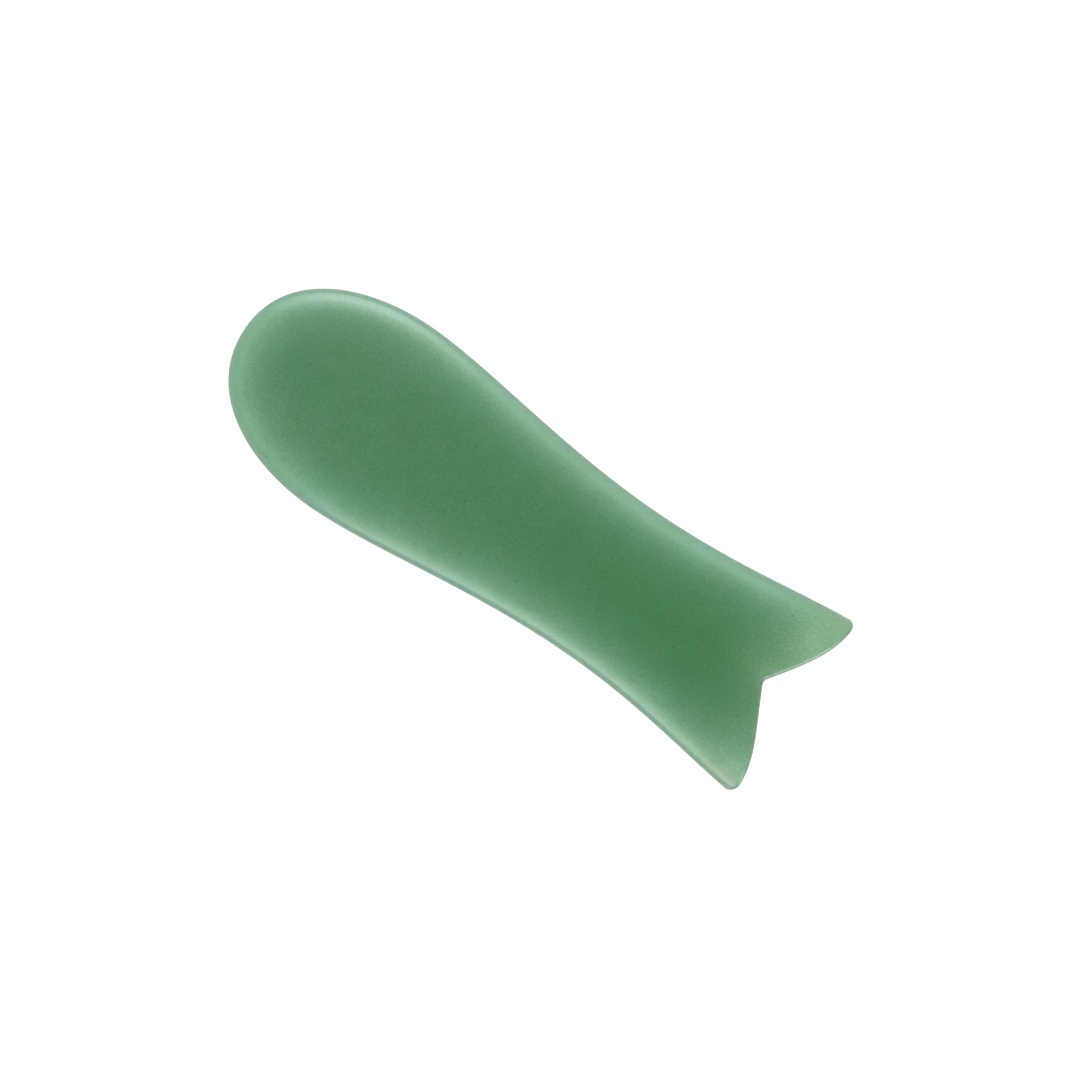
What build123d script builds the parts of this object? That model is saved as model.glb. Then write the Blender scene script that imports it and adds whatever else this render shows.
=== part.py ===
from build123d import *
import math
import os

# A face and neck scraping board. It is one slab of green stone, sawn to a long fish shape
# and ground to a full round along its sides. The cut edges of its notched tail are only eased.
# The rounded head points along -X and the tail along +X. The flat underside lies on z = 0,
# and the origin is the middle of the board's box, at its base.
# Stations are measured along the board from the nose, and half widths from its long axis.
# The left side is the one on +Y. A hand of 1 means the left side, and -1 the right side.

os.makedirs("parts", exist_ok=True)

# Driving dimensions, in millimetres and degrees
LENGTH = 105.0
THICKNESS = 6.0

HEAD_WIDTH = 34.1
HEAD_STATION = 24.1
NOSE_OFFSET = 0.3

LEFT_WAIST = 13.5
LEFT_WAIST_STATION = 67.9
RIGHT_WAIST = 12.8
RIGHT_WAIST_STATION = 71.0

LEFT_TAIL = 16.9
RIGHT_TAIL = 15.7
RIGHT_LOBE_SHORTER = 0.5
TAIL_FLARE = 6.0
TAIL_STRAIGHT = 2.7
LEFT_TIP_RADIUS = 1.4
RIGHT_TIP_RADIUS = 1.8

NOTCH_DEPTH = 6.9
NOTCH_OFFSET = 1.4
NOTCH_ROOT_RADIUS = 1.1
LEFT_NOTCH_ANGLE = 35.0
RIGHT_NOTCH_ANGLE = 27.0
LOBE_END_ANGLE = 4.0

# Grinding leaves this much of the sawn side at mid-thickness
SIDE_LAND = 0.1
NOTCH_EASE = 0.4

# How far a curve keeps to its end directions, as shares of the run that it spans
NOSE_LEAD = 0.70
HEAD_LEAD = 0.47
SHOULDER_LEAD = 0.26
WAIST_LEAD_IN = 0.40
WAIST_LEAD_OUT = 0.43
TAIL_LEAD = 0.27
NOTCH_LEAD = 0.48
LOBE_LEAD = 0.29

# A lobe's tip stands this far proud of the side line, so that the cut crosses it cleanly
TIP_OVERRUN = 0.1
# Spare stock past the tail, and how far the tail's cutter reaches past the stock
SPARE = 12.0
TOUCHING = 1e-4


def step(start, angle, distance):
    """The point at a distance from start, in a direction given in degrees from +X."""
    turn = math.radians(angle)
    return start + Vector(math.cos(turn), math.sin(turn)) * distance


def side_line(hand, waist, waist_station, tail, lobe_end):
    """One long side, from the nose to the end of the spare stock, and where its straight starts."""
    nose = Vector(0, NOSE_OFFSET)
    shoulder = Vector(HEAD_STATION, hand * HEAD_WIDTH / 2)
    narrowest = Vector(waist_station, hand * waist)
    straight = Vector(lobe_end - TAIL_STRAIGHT, hand * tail)
    shoulder_run = narrowest.X - shoulder.X
    tail_run = straight.X - narrowest.X
    head = Bezier(
        nose,
        nose + Vector(0, NOSE_LEAD * (shoulder.Y - nose.Y)),
        shoulder - Vector(HEAD_LEAD * HEAD_STATION, 0),
        shoulder,
    )
    flank = Bezier(
        shoulder,
        shoulder + Vector(SHOULDER_LEAD * shoulder_run, 0),
        narrowest - Vector(WAIST_LEAD_IN * shoulder_run, 0),
        narrowest,
    )
    fin = Bezier(
        narrowest,
        narrowest + Vector(WAIST_LEAD_OUT * tail_run, 0),
        step(straight, hand * TAIL_FLARE, -TAIL_LEAD * tail_run),
        straight,
    )
    stock_end = step(straight, hand * TAIL_FLARE, SPARE)
    return [head, flank, fin, Line(straight, stock_end)], straight


def lobe_line(hand, notch_angle, tip_radius, straight, lobe_end):
    """One lobe's cut edge, from the notch's root, round the tip and out past the side."""
    root = Vector(LENGTH - NOTCH_DEPTH, NOTCH_OFFSET)
    slope = math.radians(TAIL_FLARE)
    centre_station = lobe_end - tip_radius
    side_there = abs(straight.Y) + (centre_station - straight.X) * math.tan(slope)
    inset = (tip_radius - TIP_OVERRUN) / math.cos(slope)
    centre = Vector(centre_station, hand * (side_there - inset))
    tip_start = step(centre, -hand * LOBE_END_ANGLE, tip_radius)
    tip_middle = step(centre, hand * (90 + TAIL_FLARE - LOBE_END_ANGLE) / 2, tip_radius)
    tip_end = step(centre, hand * (90 + TAIL_FLARE), tip_radius)
    run = (tip_start - root).length
    edge = Bezier(
        root,
        step(root, hand * (90 - notch_angle), NOTCH_LEAD * run),
        step(tip_start, hand * (90 - LOBE_END_ANGLE), -LOBE_LEAD * run),
        tip_start,
    )
    past_side = Line(tip_end, tip_end + Vector(0, hand * SPARE))
    return [edge, ThreePointArc(tip_start, tip_middle, tip_end), past_side]


def outer_edges(faces):
    """The edges that only one of the faces has, which outline the area they cover together."""
    edges = [edge for face in faces for edge in face.edges()]
    return [edge for edge in edges if sum(edge.is_same(other) for other in edges) == 1]


left_end = LENGTH
right_end = LENGTH - RIGHT_LOBE_SHORTER
left_side, left_straight = side_line(1, LEFT_WAIST, LEFT_WAIST_STATION, LEFT_TAIL, left_end)
right_side, right_straight = side_line(-1, RIGHT_WAIST, RIGHT_WAIST_STATION, RIGHT_TAIL, right_end)

# The sawn slab, still with spare stock where the tail will be
stock_edge = Line(left_side[-1] @ 1, right_side[-1] @ 1)
slab = extrude(Face(Wire([*left_side, stock_edge, *right_side])), THICKNESS, dir=(0, 0, 1))

# Both long sides and the nose are ground to a full round
rims = [
    edge
    for face in slab.faces().filter_by(Axis.Z)
    for edge in face.edges()
    if edge.center().X < right_end
]
ground = fillet(rims, (THICKNESS - SIDE_LAND) / 2)

# The tail is cut across with its notch, and the root of the notch is rounded
left_lobe = lobe_line(1, LEFT_NOTCH_ANGLE, LEFT_TIP_RADIUS, left_straight, left_end)
right_lobe = lobe_line(-1, RIGHT_NOTCH_ANGLE, RIGHT_TIP_RADIUS, right_straight, right_end)
left_clear = left_lobe[-1] @ 1
right_clear = right_lobe[-1] @ 1
kept_corners = [left_clear, Vector(-SPARE, left_clear.Y), Vector(-SPARE, right_clear.Y), right_clear]
kept_area = Face(Wire([*left_lobe, *Polyline(*kept_corners).edges(), *right_lobe]))
root_corner = kept_area.vertices().sort_by_distance(left_lobe[0] @ 0)[0]
kept_area = fillet(root_corner, NOTCH_ROOT_RADIUS)
keeper = Pos(0, 0, -SPARE) * extrude(kept_area, THICKNESS + 2 * SPARE, dir=(0, 0, 1))
cut = (ground & keeper).solid()

# The edges of that cut are eased on both faces and round the two tips
walls = [
    face
    for face in cut.faces()
    if any(side.distance_to(face.center()) < TOUCHING for side in keeper.faces())
]
eased = cut.fillet(NOTCH_EASE, outer_edges(walls))

middle = eased.bounding_box().center()
scraper = Pos(-middle.X, -middle.Y, 0) * eased
scraper.label = "scraper"
export_step(scraper, "parts/scraper.step")
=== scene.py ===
import math

import bmesh
import bpy
import numpy as np
from mathutils import Matrix, Vector


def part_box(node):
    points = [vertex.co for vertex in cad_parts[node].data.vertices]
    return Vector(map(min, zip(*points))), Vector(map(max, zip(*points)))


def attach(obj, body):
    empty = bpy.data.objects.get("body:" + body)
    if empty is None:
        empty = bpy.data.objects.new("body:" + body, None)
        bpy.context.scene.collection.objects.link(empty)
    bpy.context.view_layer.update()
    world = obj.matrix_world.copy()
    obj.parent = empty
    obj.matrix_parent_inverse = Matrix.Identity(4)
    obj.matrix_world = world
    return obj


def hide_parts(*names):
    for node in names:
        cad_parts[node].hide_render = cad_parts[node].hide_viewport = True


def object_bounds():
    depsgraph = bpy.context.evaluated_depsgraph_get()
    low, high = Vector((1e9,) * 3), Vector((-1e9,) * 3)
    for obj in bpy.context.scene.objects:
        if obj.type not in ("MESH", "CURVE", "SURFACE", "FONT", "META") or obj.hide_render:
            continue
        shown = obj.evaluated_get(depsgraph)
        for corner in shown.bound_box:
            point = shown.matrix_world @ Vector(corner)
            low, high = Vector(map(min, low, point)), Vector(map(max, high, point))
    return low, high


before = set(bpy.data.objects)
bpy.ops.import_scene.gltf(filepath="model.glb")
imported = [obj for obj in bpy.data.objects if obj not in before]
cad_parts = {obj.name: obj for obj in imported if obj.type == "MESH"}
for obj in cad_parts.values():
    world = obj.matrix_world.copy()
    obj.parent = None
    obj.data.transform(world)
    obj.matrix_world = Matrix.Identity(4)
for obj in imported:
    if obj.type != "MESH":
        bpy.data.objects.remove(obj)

cad_low, cad_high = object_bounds()


# ---- Camera -----------------------------------------------------------------
# A long lens straight above the table, turned so that the board lies across the view
# from the head at the upper left to the tail at the lower right.

lens = 0.400
film = 0.036
view_width = 0.16885
camera_turn = math.radians(35.0)
camera_aim = Vector((0.0044, -0.0006, cad_high.z))

camera_data = bpy.data.cameras.new("studio_camera")
camera_data.lens = lens * 1000
camera_data.sensor_width = film * 1000
camera = bpy.data.objects.new("studio_camera", camera_data)
bpy.context.collection.objects.link(camera)
camera.location = camera_aim + Vector((0, 0, view_width * lens / film))
camera.rotation_euler = (0, 0, camera_turn)
bpy.context.scene.camera = camera


# ---- Stone board ------------------------------------------------------------
# One slab of green aventurine, sawn to a long fish shape and polished all over.
# The sides are ground to a full round, which hand polishing eases into the flat faces. The
# notch is sawn across the tail, so its walls stand square and only their edges are eased.

MM = 0.001
board_low, board_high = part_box("scraper")
length = board_high.x - board_low.x
thickness = board_high.z - board_low.z
middle_z = (board_high.z + board_low.z) / 2

# Stations are measured from the nose, and half widths from the long axis. A hand of 1 means
# the left side, which is on +Y, and -1 the right side.
left_reach = 17.07 * MM
centre_line = board_high.y - left_reach

# A hair less at the nose, the left tip and both faces keeps the board inside the part's box.
# The head and the left tail are 0.01 mm narrower than the part's for the same reason.
hair = 0.005 * MM

head_half = 17.04 * MM
head_station = 24.1 * MM
nose_offset = 0.3 * MM
left_waist, left_waist_station = 13.5 * MM, 67.9 * MM
right_waist, right_waist_station = 12.8 * MM, 71.0 * MM
left_tail, right_tail = 16.89 * MM, 15.7 * MM
right_lobe_shorter = 0.5 * MM
tail_straight = 2.7 * MM
tail_flare = 6.0
left_tip_radius, right_tip_radius = 1.4 * MM, 1.8 * MM
notch_depth = 6.9 * MM
notch_offset = 1.4 * MM
notch_root_radius = 1.1 * MM
left_notch_angle, right_notch_angle = 35.0, 27.0
lobe_end_angle = 4.0
notch_ease = 0.7 * MM
round_height = thickness / 2 - hair
round_width = 4.0 * MM
half_land = 0.05 * MM

# How far a curve keeps to its end directions, as shares of the run that it spans
nose_lead = 0.70
head_lead = 0.47
shoulder_lead = 0.26
waist_lead_in, waist_lead_out = 0.40, 0.43
tail_lead = 0.27
notch_lead = 0.48
lobe_lead = 0.29

# The sides and the cut run on past each other, so that they cross cleanly
spare = 6.0 * MM
tip_overrun = 0.1 * MM
side_spare_count, cut_spare_count = 101, 21


def place(station, across):
    """A point in plan, by its distance from the nose and its distance from the long axis."""
    return np.array([board_low.x + station, centre_line + across])


def step(start, angle, distance):
    """The point at a distance from start, in a direction given in degrees from +X."""
    turn = math.radians(angle)
    return start + np.array([math.cos(turn), math.sin(turn)]) * distance


def bezier(a, b, c, d, count=300):
    """Points along one curve from a to d, leaving towards b and arriving from c."""
    t = np.linspace(0, 1, count + 1)[:, None]
    s = 1 - t
    return a * s ** 3 + b * 3 * s * s * t + c * 3 * s * t * t + d * t ** 3


def arc(centre, radius, start, end, count=60):
    """Points round part of a circle, between two angles in degrees."""
    return np.array([step(centre, angle, radius) for angle in np.linspace(start, end, count + 1)])


def side_line(hand, waist, waist_station, tail, lobe_end):
    """One long side from the nose to past the tail, and where its last straight starts."""
    nose = place(hair, nose_offset)
    shoulder = place(head_station, hand * head_half)
    narrowest = place(waist_station, hand * waist)
    straight = place(lobe_end - tail_straight, hand * tail)
    shoulder_run = narrowest[0] - shoulder[0]
    tail_run = straight[0] - narrowest[0]
    head = bezier(
        nose,
        nose + [0, nose_lead * (shoulder[1] - nose[1])],
        shoulder - [head_lead * head_station, 0],
        shoulder,
    )
    flank = bezier(
        shoulder,
        shoulder + [shoulder_lead * shoulder_run, 0],
        narrowest - [waist_lead_in * shoulder_run, 0],
        narrowest,
    )
    fin = bezier(
        narrowest,
        narrowest + [waist_lead_out * tail_run, 0],
        step(straight, hand * tail_flare, -tail_lead * tail_run),
        straight,
    )
    run_out = np.linspace(straight, step(straight, hand * tail_flare, spare), side_spare_count)
    return np.concatenate([head, flank[1:], fin[1:], run_out[1:]]), straight


def lobe_line(hand, notch_angle, tip_radius, straight, lobe_end):
    """One lobe's sawn edge from the notch's root to past the side."""
    root = place(length - notch_depth, notch_offset)
    slope = math.radians(tail_flare)
    centre_x = board_low.x + lobe_end - tip_radius
    side_there = abs(straight[1] - centre_line) + (centre_x - straight[0]) * math.tan(slope)
    inset = (tip_radius - tip_overrun) / math.cos(slope)
    centre = np.array([centre_x, centre_line + hand * (side_there - inset)])
    tip = arc(centre, tip_radius, -hand * lobe_end_angle, hand * (90 + tail_flare))
    run = np.linalg.norm(tip[0] - root)
    edge = bezier(
        root,
        step(root, hand * (90 - notch_angle), notch_lead * run),
        step(tip[0], hand * (90 - lobe_end_angle), -lobe_lead * run),
        tip[0],
    )
    past_side = np.linspace(tip[-1], tip[-1] + [0, hand * spare], cut_spare_count)
    return np.concatenate([edge, tip[1:], past_side[1:]])


def rounded_root(left_edge, right_edge, radius):
    """Both sawn edges joined by an arc at the notch's root, from the left tip to the right."""
    root = left_edge[0]
    toward_left = left_edge[1] - root
    toward_left = toward_left / np.linalg.norm(toward_left)
    toward_right = right_edge[1] - root
    toward_right = toward_right / np.linalg.norm(toward_right)
    half = math.acos(toward_left @ toward_right) / 2
    back = radius / math.tan(half)
    bisector = toward_left + toward_right
    centre = root + bisector / np.linalg.norm(bisector) * (radius / math.sin(half))
    start = root + toward_left * back - centre
    end = root + toward_right * back - centre
    joining = arc(
        centre,
        radius,
        math.degrees(math.atan2(start[1], start[0])) % 360,
        math.degrees(math.atan2(end[1], end[0])) % 360,
    )
    keep_left = left_edge[np.linalg.norm(left_edge - root, axis=1) > back]
    keep_right = right_edge[np.linalg.norm(right_edge - root, axis=1) > back]
    return np.concatenate([keep_left[::-1], joining, keep_right])


def inward(line, distance, hand):
    """The line moved sideways into the stone; hand 1 moves it to its right."""
    way = np.gradient(line, axis=0)
    way /= np.linalg.norm(way, axis=1)[:, None]
    return line + np.column_stack([way[:, 1], -way[:, 0]]) * distance * hand


def cross(a, b):
    return a[..., 0] * b[..., 1] - a[..., 1] * b[..., 0]


# Stands in for the turn between two pieces of line that run level with each other
nearly_level = 1e-30


def crossing(side, cut):
    """Where a side first meets the cut, and the segment of each line that it is on."""
    side_way = np.diff(side, axis=0)[:, None]
    cut_way = np.diff(cut, axis=0)[None]
    gap = cut[None, :-1] - side[:-1, None]
    turn = cross(side_way, cut_way)
    turn[turn == 0] = nearly_level
    on_side = cross(gap, cut_way) / turn
    on_cut = cross(gap, side_way) / turn
    meet = (on_side >= 0) & (on_side <= 1) & (on_cut >= 0) & (on_cut <= 1)
    i, j = np.argwhere(meet)[0]
    return side[i] + on_side[i, j] * side_way[i, 0], i, j


def spaced(line, shares):
    """Points at the given shares of the line's length."""
    run = np.concatenate([[0], np.cumsum(np.linalg.norm(np.diff(line, axis=0), axis=1))])
    want = shares * run[-1]
    return np.column_stack([np.interp(want, run, line[:, 0]), np.interp(want, run, line[:, 1])])


def distance_to(line, points):
    """How far each point is from the nearest place on the line."""
    way = np.diff(line, axis=0)
    gap = points[:, None] - line[:-1]
    t = np.clip((gap * way).sum(-1) / (way * way).sum(-1), 0, 1)
    return np.linalg.norm(gap - t[..., None] * way, axis=-1).min(axis=1)


left_end = length - hair
right_end = length - right_lobe_shorter
left_side, left_straight = side_line(1, left_waist, left_waist_station, left_tail, left_end)
right_side, right_straight = side_line(-1, right_waist, right_waist_station, right_tail, right_end)
cut_line = rounded_root(
    lobe_line(1, left_notch_angle, left_tip_radius, left_straight, left_end),
    lobe_line(-1, right_notch_angle, right_tip_radius, right_straight, right_end),
    notch_root_radius,
)

# Points stand closer together near the tips, where the ground side meets the sawn edge
closer_from = 0.96
long_count, closer_count, cut_count = 170, 26, 141
crowding = 0.8
side_shares = np.concatenate([
    np.linspace(0, closer_from, long_count),
    np.linspace(closer_from, 1, closer_count)[1:],
])
even = np.linspace(0, 1, cut_count)
cut_shares = even - crowding * np.sin(2 * math.pi * even) / (2 * math.pi)


def ring(side_inset, cut_inset):
    """One closed ring of points: nose, left side, left lobe, right lobe, right side."""
    left = inward(left_side, side_inset, 1)
    right = inward(right_side, side_inset, -1)
    cut = inward(cut_line, cut_inset, 1)
    left_meet, left_i, left_j = crossing(left, cut)
    right_meet, right_i, right_j = crossing(right, cut)
    left = spaced(np.vstack([left[:left_i + 1], left_meet]), side_shares)
    right = spaced(np.vstack([right[:right_i + 1], right_meet]), side_shares)
    middle = np.vstack([left_meet, cut[left_j + 1:right_j + 1], right_meet])
    middle = spaced(middle, cut_shares)
    return np.concatenate([left, middle[1:-1], right[:0:-1]])


def depths(points):
    """How far each point is from the ground sides and from the sawn edge."""
    from_side = np.minimum(distance_to(left_side, points), distance_to(right_side, points))
    return from_side, distance_to(cut_line, points)


def half_height(from_side, from_cut):
    """Half the stone's thickness: the side's full round, less the eased edge of the cut."""
    share = 1 - np.clip(from_side / round_width, 0, 1)
    ground = half_land + (round_height - half_land) * np.sqrt(1 - share ** 2)
    share = 1 - np.clip(from_cut / notch_ease, 0, 1)
    return np.maximum(ground - notch_ease * (1 - np.sqrt(1 - share ** 2)), half_land)


round_steps = 16
rings = []
for k in range(round_steps + 1):
    rise = 1 - math.cos(math.pi / 2 * k / round_steps)
    rings.append(ring(round_width * rise, notch_ease * rise))

# The flat faces close on a spine that runs from the head's middle to short of the notch, and
# their rows stand closer together next to the round
spine_start = place(9 * MM, 0.2 * MM)
spine_run = [81 * MM, 0.5 * MM]
spine = spine_start + side_shares[:, None] * spine_run
ring_count = len(rings[0])
spine_of = [min(i, ring_count - i, len(spine) - 1) for i in range(ring_count)]
edge_of_flat = rings[-1]
ways_in = (0.012, 0.06, 0.13, 0.22, 0.34, 0.48, 0.64, 0.82)
for share in ways_in:
    rings.append(edge_of_flat + (spine[spine_of] - edge_of_flat) * share)

stone_mesh = bmesh.new()
side_layer = stone_mesh.verts.layers.float.new("side_depth")
cut_layer = stone_mesh.verts.layers.float.new("cut_depth")


def stone_verts(points, from_side, from_cut, half):
    """One row of corners, each keeping its two depths in millimetres for the stone's colour and
    painted glow.
    """
    made = []
    for (x, y), a, b, h in zip(points, from_side, from_cut, half):
        vert = stone_mesh.verts.new((x, y, middle_z + h))
        vert[side_layer] = a / MM
        vert[cut_layer] = b / MM
        made.append(vert)
    return made


def join_rings(outer, inner):
    """Faces between two rows of corners, three-sided where both ends of one share a corner."""
    for i in range(len(outer)):
        j = (i + 1) % len(outer)
        corners = []
        for vert in (outer[i], outer[j], inner[j], inner[i]):
            if vert not in corners:
                corners.append(vert)
        stone_mesh.faces.new(corners)


shapes = []
for points in rings + [spine]:
    from_side, from_cut = depths(points)
    shapes.append((points, from_side, from_cut, half_height(from_side, from_cut)))

# A row just below the rim, so that the light turns sharply where the stone stands square
guard_drop = 0.1 * MM
rim_points, rim_from_side, rim_from_cut, rim_half = shapes[0]
guard_half = rim_half - np.minimum(guard_drop, rim_half / 2)
shapes.insert(0, (rim_points, rim_from_side, rim_from_cut, guard_half))

faces_of_board = []
for hand in (1, -1):
    rows = [stone_verts(points, a, b, hand * half) for points, a, b, half in shapes]
    spine_verts = rows.pop()
    rows.append([spine_verts[s] for s in spine_of])
    for outer, inner in zip(rows, rows[1:]):
        join_rings(outer, inner)
    faces_of_board.append(rows)
join_rings(faces_of_board[0][0], faces_of_board[1][0])

bmesh.ops.recalc_face_normals(stone_mesh, faces=stone_mesh.faces)
for face in stone_mesh.faces:
    face.smooth = True
board_mesh = bpy.data.meshes.new("stone_board")
stone_mesh.to_mesh(board_mesh)
stone_mesh.free()
board = bpy.data.objects.new("stone_board", board_mesh)
bpy.context.collection.objects.link(board)
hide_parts("scraper")
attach(board, "root")

aventurine = bpy.data.materials.new("green_aventurine")
aventurine.use_nodes = True
board_mesh.materials.append(aventurine)
nodes, links = aventurine.node_tree.nodes, aventurine.node_tree.links
shader = nodes["Principled BSDF"]
shader.inputs["IOR"].default_value = 1.55
shader.inputs["Subsurface Weight"].default_value = 0.6
shader.inputs["Subsurface Radius"].default_value = (0.8, 1.6, 1.1)
shader.inputs["Subsurface Scale"].default_value = 1.0 * MM


def node(kind, **settings):
    made = nodes.new(kind)
    for name, value in settings.items():
        setattr(made, name, value)
    return made


def feed(socket, value):
    """A fixed number or colour is set on the socket; anything else is linked to it."""
    if isinstance(value, bpy.types.NodeSocket):
        links.new(value, socket)
    elif isinstance(value, tuple):
        socket.default_value = (*value, 1)
    else:
        socket.default_value = value


def ramp(source, stops):
    """A colour that runs evenly between stops, each of them a position and a colour."""
    made = node("ShaderNodeValToRGB")
    elements = made.color_ramp.elements
    while len(elements) < len(stops):
        elements.new(0.5)
    for element, (position, colour) in zip(elements, stops):
        element.position = position
        element.color = (*colour, 1)
    links.new(source, made.inputs["Fac"])
    return made.outputs["Color"]


def maths(operation, first, second):
    made = node("ShaderNodeMath", operation=operation)
    feed(made.inputs[0], first)
    feed(made.inputs[1], second)
    return made.outputs[0]


def mix(blend, amount, first, second):
    """One colour blended into another; this node keeps its colours in sockets 6 and 7."""
    made = node("ShaderNodeMix", data_type="RGBA", blend_type=blend)
    feed(made.inputs[0], amount)
    feed(made.inputs[6], first)
    feed(made.inputs[7], second)
    return made.outputs[2]


def noise(size, detail=2.0, roughness=0.5, shift=0.0):
    """Cloudy noise from 0 to 1, whose patches are about the given size in millimetres."""
    moved = node("ShaderNodeVectorMath", operation="ADD")
    links.new(in_stone, moved.inputs[0])
    moved.inputs[1].default_value = (shift, shift * 0.7, shift * 1.3)
    made = node("ShaderNodeTexNoise")
    links.new(moved.outputs[0], made.inputs["Vector"])
    made.inputs["Scale"].default_value = 1 / size
    made.inputs["Detail"].default_value = detail
    made.inputs["Roughness"].default_value = roughness
    return made.outputs["Fac"]


def fade(distance, reach):
    """1 at no distance, falling to about a third at each reach."""
    return maths("POWER", math.exp(-1 / reach), distance)


def past(distance, start):
    """How far a distance goes beyond its start, and 0 before it."""
    return maths("MAXIMUM", maths("SUBTRACT", distance, start), 0.0)


def distance_from(spot):
    """How far, in millimetres across the board's plan, from a spot on it."""
    gap = node("ShaderNodeVectorMath", operation="DISTANCE")
    links.new(on_plan, gap.inputs[0])
    gap.inputs[1].default_value = (spot[0] / MM, spot[1] / MM, 0)
    return gap.outputs["Value"]


object_place = node("ShaderNodeTexCoord").outputs["Object"]
in_mm = node("ShaderNodeVectorMath", operation="SCALE")
links.new(object_place, in_mm.inputs[0])
in_mm.inputs["Scale"].default_value = 1 / MM
in_stone = in_mm.outputs[0]
flat_mm = node("ShaderNodeVectorMath", operation="MULTIPLY")
links.new(in_stone, flat_mm.inputs[0])
flat_mm.inputs[1].default_value = (1, 1, 0)
on_plan = flat_mm.outputs[0]
axes = node("ShaderNodeSeparateXYZ")
links.new(in_stone, axes.inputs[0])
side_depth = node("ShaderNodeAttribute", attribute_name="side_depth").outputs["Fac"]
cut_depth = node("ShaderNodeAttribute", attribute_name="cut_depth").outputs["Fac"]

# A greyer green at the head, purer and darker towards the tail. Over it lies painted glow:
# thin stone lets light come back out of it sooner, so a paler green is painted over the ground
# round, along the cut and in the lobes, and then fades; at the right lobe's tip it is also a
# painted highlight. The ground rim has painted shade and grey reflection, darker where it is
# steepest, and a paler grey painted reflection lies on the eased edges of the cut. Reaches are
# in millimetres, and shares say how much of a colour comes in where it is strongest.
head_green = (0.069, 0.215, 0.094)
tail_green = (0.021, 0.165, 0.038)
side_glow_green = (0.198, 0.408, 0.260)
lobe_glow_green = (0.220, 0.400, 0.230)
right_tip_glow_and_highlight = (0.235, 0.410, 0.262)
rim_shade_grey = (0.175, 0.275, 0.200)
ease_reflection_grey = (0.270, 0.300, 0.265)
full_side_glow = 1.8
side_glow_reach = 2.8
right_cut_glow_share = 0.35
left_cut_glow_share = 0.75
across_root = 4.0
cut_glow_reach = 3.5
left_lobe_full_glow = 4.0
right_lobe_full_glow = 1.5
lobe_glow_reach = 4.0
rim_shade_share = 0.6
rim_shade_reach = 0.3
ease_reflection_share = 0.7
ease_reflection_reach = 0.25
wall_end = 0.01
lobe_back, lobe_inset = 1.0 * MM, 4.4 * MM

along_board = maths("ADD", maths("DIVIDE", axes.outputs["X"], length / MM), 0.5)
stone_colour = mix("MIX", along_board, head_green, tail_green)
# Painted glow over the ground round: paler where light comes back out of thin stone
side_glow = fade(past(side_depth, full_side_glow), side_glow_reach)
stone_colour = mix("MIX", side_glow, stone_colour, side_glow_green)
# Painted glow along the sawn cut, stronger on the notch's left side
cut_glow_share = node("ShaderNodeMapRange")
links.new(axes.outputs["Y"], cut_glow_share.inputs["Value"])
cut_glow_share.inputs["From Max"].default_value = across_root
cut_glow_share.inputs["To Min"].default_value = right_cut_glow_share
cut_glow_share.inputs["To Max"].default_value = left_cut_glow_share
cut_glow = maths("MULTIPLY", fade(cut_depth, cut_glow_reach), cut_glow_share.outputs["Result"])
stone_colour = mix("MIX", cut_glow, stone_colour, lobe_glow_green)
# Painted glow in each lobe, spreading out from a spot in it
left_middle = place(length - lobe_back, left_tail - lobe_inset)
# At the right lobe's tip the paler bluish green is painted glow and a painted highlight
right_tip = place(right_end - right_tip_radius, right_tip_radius - right_tail)
for spot, lobe_full_glow, green in (
    (left_middle, left_lobe_full_glow, lobe_glow_green),
    (right_tip, right_lobe_full_glow, right_tip_glow_and_highlight),
):
    past_lobe = past(distance_from(spot), lobe_full_glow)
    stone_colour = mix("MIX", fade(past_lobe, lobe_glow_reach), stone_colour, green)
# Painted shade and grey reflection on the steepest part of the ground rim
rim_shade = maths("MULTIPLY", fade(side_depth, rim_shade_reach), rim_shade_share)
stone_colour = mix("MIX", rim_shade, stone_colour, rim_shade_grey)
# Painted reflection: a paler grey on the eased edges of the cut
ease_reflection = maths("MULTIPLY", maths("GREATER_THAN", cut_depth, wall_end), ease_reflection_share)
ease_reflection = maths("MULTIPLY", ease_reflection, fade(cut_depth, ease_reflection_reach))
stone_colour = mix("MIX", ease_reflection, stone_colour, ease_reflection_grey)

# Soft clouds of bluer and yellower green, a fine grain that shows less under the painted glow
# of the pale sides, and a few dark and pale pin specks
hue_cloud = noise(9.0, detail=1.5)
stone_colour = mix("MULTIPLY", 1.0, stone_colour, ramp(hue_cloud, [
    (0.30, (0.97, 1.00, 1.02)),
    (0.50, (1.0, 1.0, 1.0)),
    (0.70, (1.03, 1.00, 0.98)),
]))
shade_cloud = noise(4.0, detail=3.0, roughness=0.55, shift=31.0)
stone_colour = mix("MULTIPLY", 1.0, stone_colour, ramp(shade_cloud, [
    (0.25, (0.91, 0.955, 0.91)),
    (0.75, (1.09, 1.045, 1.09)),
]))
hidden_by_glow = 0.55
clearness = maths("SUBTRACT", 1.0, maths("MULTIPLY", side_glow, hidden_by_glow))
mottle = noise(1.3, shift=23.0)
stone_colour = mix("MULTIPLY", clearness, stone_colour, ramp(mottle, [
    (0.3, (0.95, 1.0, 0.96)),
    (0.7, (1.05, 1.0, 1.04)),
]))
grain = noise(0.45, detail=3.0, roughness=0.85, shift=57.0)
stone_colour = mix("MULTIPLY", clearness, stone_colour, ramp(grain, [
    (0.25, (0.67, 0.76, 0.71)),
    (0.75, (1.33, 1.24, 1.29)),
]))


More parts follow.
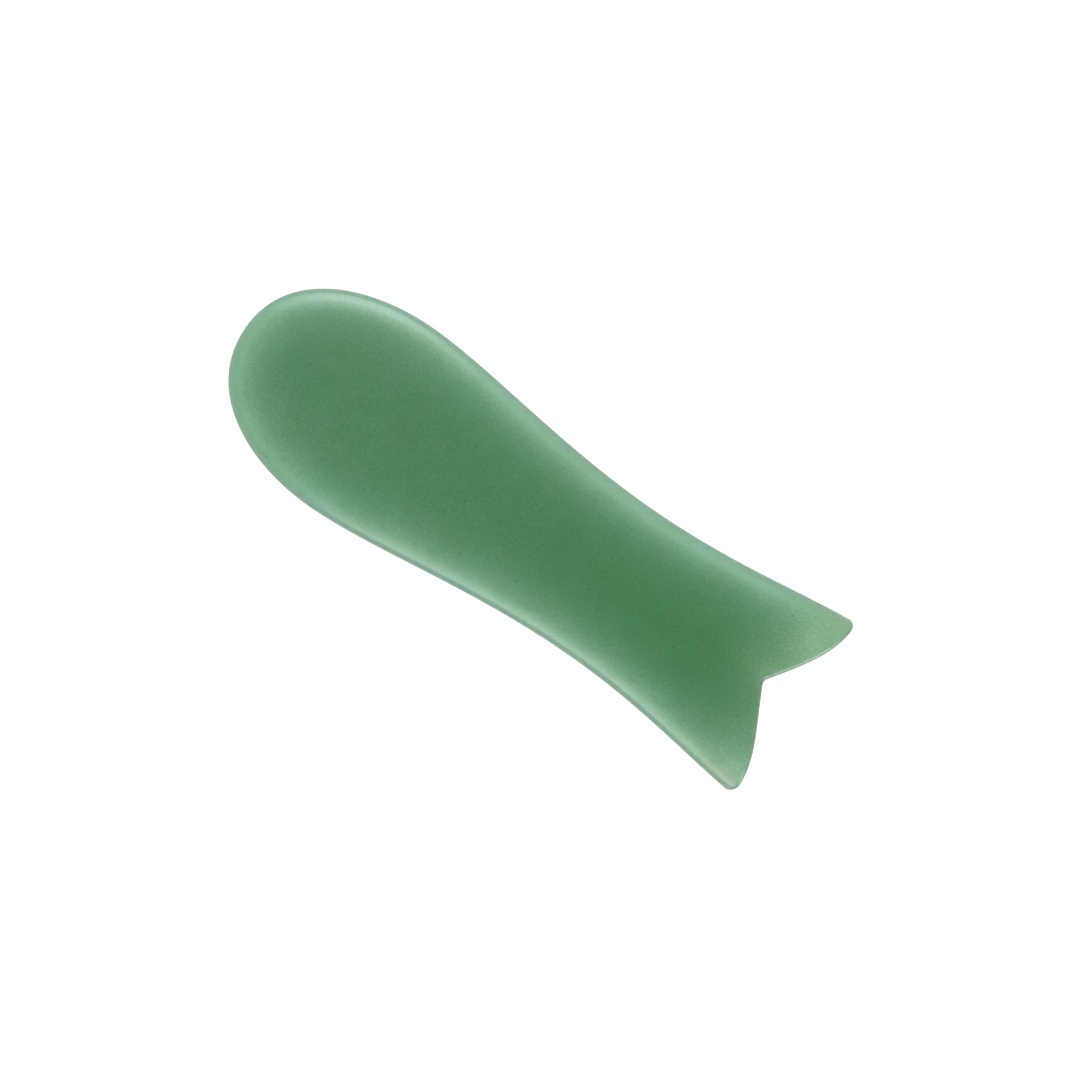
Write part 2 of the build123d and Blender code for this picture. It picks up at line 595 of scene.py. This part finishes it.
def specks(spacing, radius, share, shift):
    """1 inside pin specks of a radius in millimetres, about one to a cube of the spacing."""
    moved = node("ShaderNodeVectorMath", operation="ADD")
    links.new(in_stone, moved.inputs[0])
    moved.inputs[1].default_value = (shift, shift, shift)
    cells = node("ShaderNodeTexVoronoi", feature="F1")
    links.new(moved.outputs[0], cells.inputs["Vector"])
    cells.inputs["Scale"].default_value = 1 / spacing
    near = maths("LESS_THAN", cells.outputs["Distance"], radius / spacing)
    chance = node("ShaderNodeSeparateColor")
    links.new(cells.outputs["Color"], chance.inputs[0])
    return maths("MULTIPLY", near, maths("LESS_THAN", chance.outputs[0], share))


dark_speck, dark_speck_share = (0.35, 0.45, 0.38), 0.75
pale_speck, pale_speck_share = (0.12, 0.14, 0.12), 0.5
dark_specks = specks(spacing=2.4, radius=0.15, share=0.45, shift=5.0)
pale_specks = specks(spacing=3.0, radius=0.12, share=0.35, shift=40.0)
dark_amount = maths("MULTIPLY", dark_specks, dark_speck_share)
stone_colour = mix("MULTIPLY", dark_amount, stone_colour, dark_speck)
pale_amount = maths("MULTIPLY", pale_specks, pale_speck_share)
stone_colour = mix("ADD", pale_amount, stone_colour, pale_speck)
links.new(stone_colour, shader.inputs["Base Color"])

# The polish is a little duller in patches, and hand work leaves it very slightly wavy
shiniest, dullest = 0.17, 0.26
wave_height = 0.02 * MM
dull_patches = noise(2.5, detail=3.0, roughness=0.6, shift=12.0)
dullness = node("ShaderNodeMapRange")
links.new(dull_patches, dullness.inputs["Value"])
dullness.inputs["To Min"].default_value = shiniest
dullness.inputs["To Max"].default_value = dullest
links.new(dullness.outputs["Result"], shader.inputs["Roughness"])
waves = node("ShaderNodeBump")
waves.inputs["Strength"].default_value = 1.0
waves.inputs["Distance"].default_value = wave_height
links.new(noise(3.0, detail=4.0, shift=80.0), waves.inputs["Height"])
links.new(waves.outputs["Normal"], shader.inputs["Normal"])


# ---- Table ------------------------------------------------------------------
# A large sheet of matt white board that the stone lies on, bright enough to show as pure
# white. The camera sees all of that extra brightness and the polish sees some of it, but it
# doesn't light the stone's body.

table_reach = 3.0
table_drop = 0.02 * MM
table_white = (0.72, 0.72, 0.72)
extra_in_camera = 0.70
extra_in_polish = 0.25

table_mesh = bpy.data.meshes.new("white_table")
table_corners = [
    (-table_reach, -table_reach, -table_drop),
    (table_reach, -table_reach, -table_drop),
    (table_reach, table_reach, -table_drop),
    (-table_reach, table_reach, -table_drop),
]
table_mesh.from_pydata(table_corners, [], [(0, 1, 2, 3)])
table = bpy.data.objects.new("white_table", table_mesh)
bpy.context.collection.objects.link(table)
white_board = bpy.data.materials.new("matt_white_board")
white_board.use_nodes = True
table_mesh.materials.append(white_board)
board_shader = white_board.node_tree.nodes["Principled BSDF"]
board_shader.inputs["Base Color"].default_value = (*table_white, 1)
board_shader.inputs["Roughness"].default_value = 0.8
board_shader.inputs["Specular IOR Level"].default_value = 0.1
board_shader.inputs["Emission Color"].default_value = (1, 1, 1, 1)
board_nodes, board_links = white_board.node_tree.nodes, white_board.node_tree.links
ray = board_nodes.new("ShaderNodeLightPath")
in_polish = board_nodes.new("ShaderNodeMath")
in_polish.operation = "MULTIPLY"
in_polish.inputs[1].default_value = extra_in_polish
board_links.new(ray.outputs["Is Glossy Ray"], in_polish.inputs[0])
exposed = board_nodes.new("ShaderNodeMath")
exposed.operation = "MULTIPLY_ADD"
exposed.inputs[1].default_value = extra_in_camera
board_links.new(ray.outputs["Is Camera Ray"], exposed.inputs[0])
board_links.new(in_polish.outputs[0], exposed.inputs[2])
board_links.new(exposed.outputs[0], board_shader.inputs["Emission Strength"])


# ---- Studio light -----------------------------------------------------------
# A pale room with a soft scrim overhead, and three softboxes that stand on the table: a
# wide one beyond the head's far side, a lower one on the near side, and one off the tail.

room_brightness = 0.55
room = bpy.data.worlds.new("pale_room")
bpy.context.scene.world = room
room.use_nodes = True
room_light = room.node_tree.nodes["Background"]
room_light.inputs["Color"].default_value = (1, 1, 1, 1)
room_light.inputs["Strength"].default_value = room_brightness
bpy.context.scene.view_settings.view_transform = "Standard"


def area_light(name, place_at, away, width, height, colour, brightness):
    """A rectangular light whose back is turned away, with its width level."""
    data = bpy.data.lights.new(name, "AREA")
    data.shape = "RECTANGLE"
    data.size = width
    data.size_y = height
    data.energy = brightness * math.pi * width * height
    data.color = colour
    light = bpy.data.objects.new(name, data)
    bpy.context.collection.objects.link(light)
    level_way = Vector((0, 0, 1)).cross(away).normalized()
    turn = Matrix((level_way, away.cross(level_way), away)).transposed().to_4x4()
    light.matrix_world = Matrix.Translation(place_at) @ turn
    light.visible_camera = False
    return light


def toward(azimuth, polar):
    """The direction at an azimuth from +X and an angle down from straight up, in degrees."""
    turn, lean = math.radians(azimuth), math.radians(polar)
    return Vector((math.sin(lean) * math.cos(turn), math.sin(lean) * math.sin(turn), math.cos(lean)))


# The scrim lights the stone's body, and is flagged off from its polish
scrim_way = toward(125, 8)
scrim_distance = 0.9
scrim_side = 0.8
scrim_colour = (0.98, 1.01, 1.02)
scrim_brightness = 2.9
scrim = area_light(
    "overhead_scrim",
    scrim_way * scrim_distance,
    scrim_way,
    scrim_side,
    scrim_side,
    scrim_colour,
    scrim_brightness,
)
scrim.visible_glossy = False

# Each softbox is held just clear of the table
softbox_lift = 0.001


def softbox(name, foot, azimuth, width, height, colour, brightness, across, upward):
    """A softbox standing at its foot on the table, which only the polish picks up.

    Across and upward give how bright its cloth is from end to end and from foot to top.
    """
    away = toward(azimuth, 90)
    stand = Vector((foot[0], foot[1], height / 2 + softbox_lift))
    light = area_light(name, stand, away, width, height, colour, brightness)
    light.visible_diffuse = False
    light.data.use_shadow = False
    light.data.use_nodes = True
    tree = light.data.node_tree
    cloth = tree.nodes.new("ShaderNodeNewGeometry")
    split = tree.nodes.new("ShaderNodeSeparateXYZ")
    tree.links.new(cloth.outputs["Parametric"], split.inputs[0])
    glow = tree.nodes.new("ShaderNodeMath")
    glow.operation = "MULTIPLY"
    for axis, socket, stops in (("X", glow.inputs[0], across), ("Y", glow.inputs[1], upward)):
        curve = tree.nodes.new("ShaderNodeValToRGB")
        elements = curve.color_ramp.elements
        while len(elements) < len(stops):
            elements.new(0.5)
        for element, (position, level) in zip(elements, stops):
            element.position = position
            element.color = (level, level, level, 1)
        tree.links.new(split.outputs[axis], curve.inputs["Fac"])
        tree.links.new(curve.outputs["Color"], socket)
    tree.links.new(glow.outputs[0], tree.nodes["Emission"].inputs["Strength"])


softbox(
    "wide_softbox",
    foot=(-0.12, 0.14),
    azimuth=115,
    width=0.36,
    height=0.45,
    colour=(1.08, 0.95, 1.10),
    brightness=4.2,
    across=[(0.0, 0.0), (0.08, 0.05), (0.25, 0.8), (0.45, 1.0), (1.0, 0.0)],
    upward=[(0.0, 0.8), (0.2, 1.0), (0.3, 0.6), (0.45, 0.3), (1.0, 0.15)],
)
softbox(
    "low_softbox",
    foot=(0.035, -0.165),
    azimuth=-90,
    width=0.15,
    height=0.30,
    colour=(1.03, 0.94, 1.0),
    brightness=3.0,
    across=[(0.0, 0.0), (0.25, 1.0), (1.0, 1.0)],
    upward=[(0.0, 1.0), (0.2, 1.0), (0.35, 0.45), (0.5, 0.25), (1.0, 0.1)],
)
softbox(
    "tail_softbox",
    foot=(0.150, -0.040),
    azimuth=-30,
    width=0.08,
    height=0.16,
    colour=(1.0, 1.0, 1.0),
    brightness=5.0,
    across=[(0.0, 0.3), (0.5, 1.0), (1.0, 0.3)],
    upward=[(0.0, 1.0), (0.6, 1.0), (1.0, 0.0)],
)
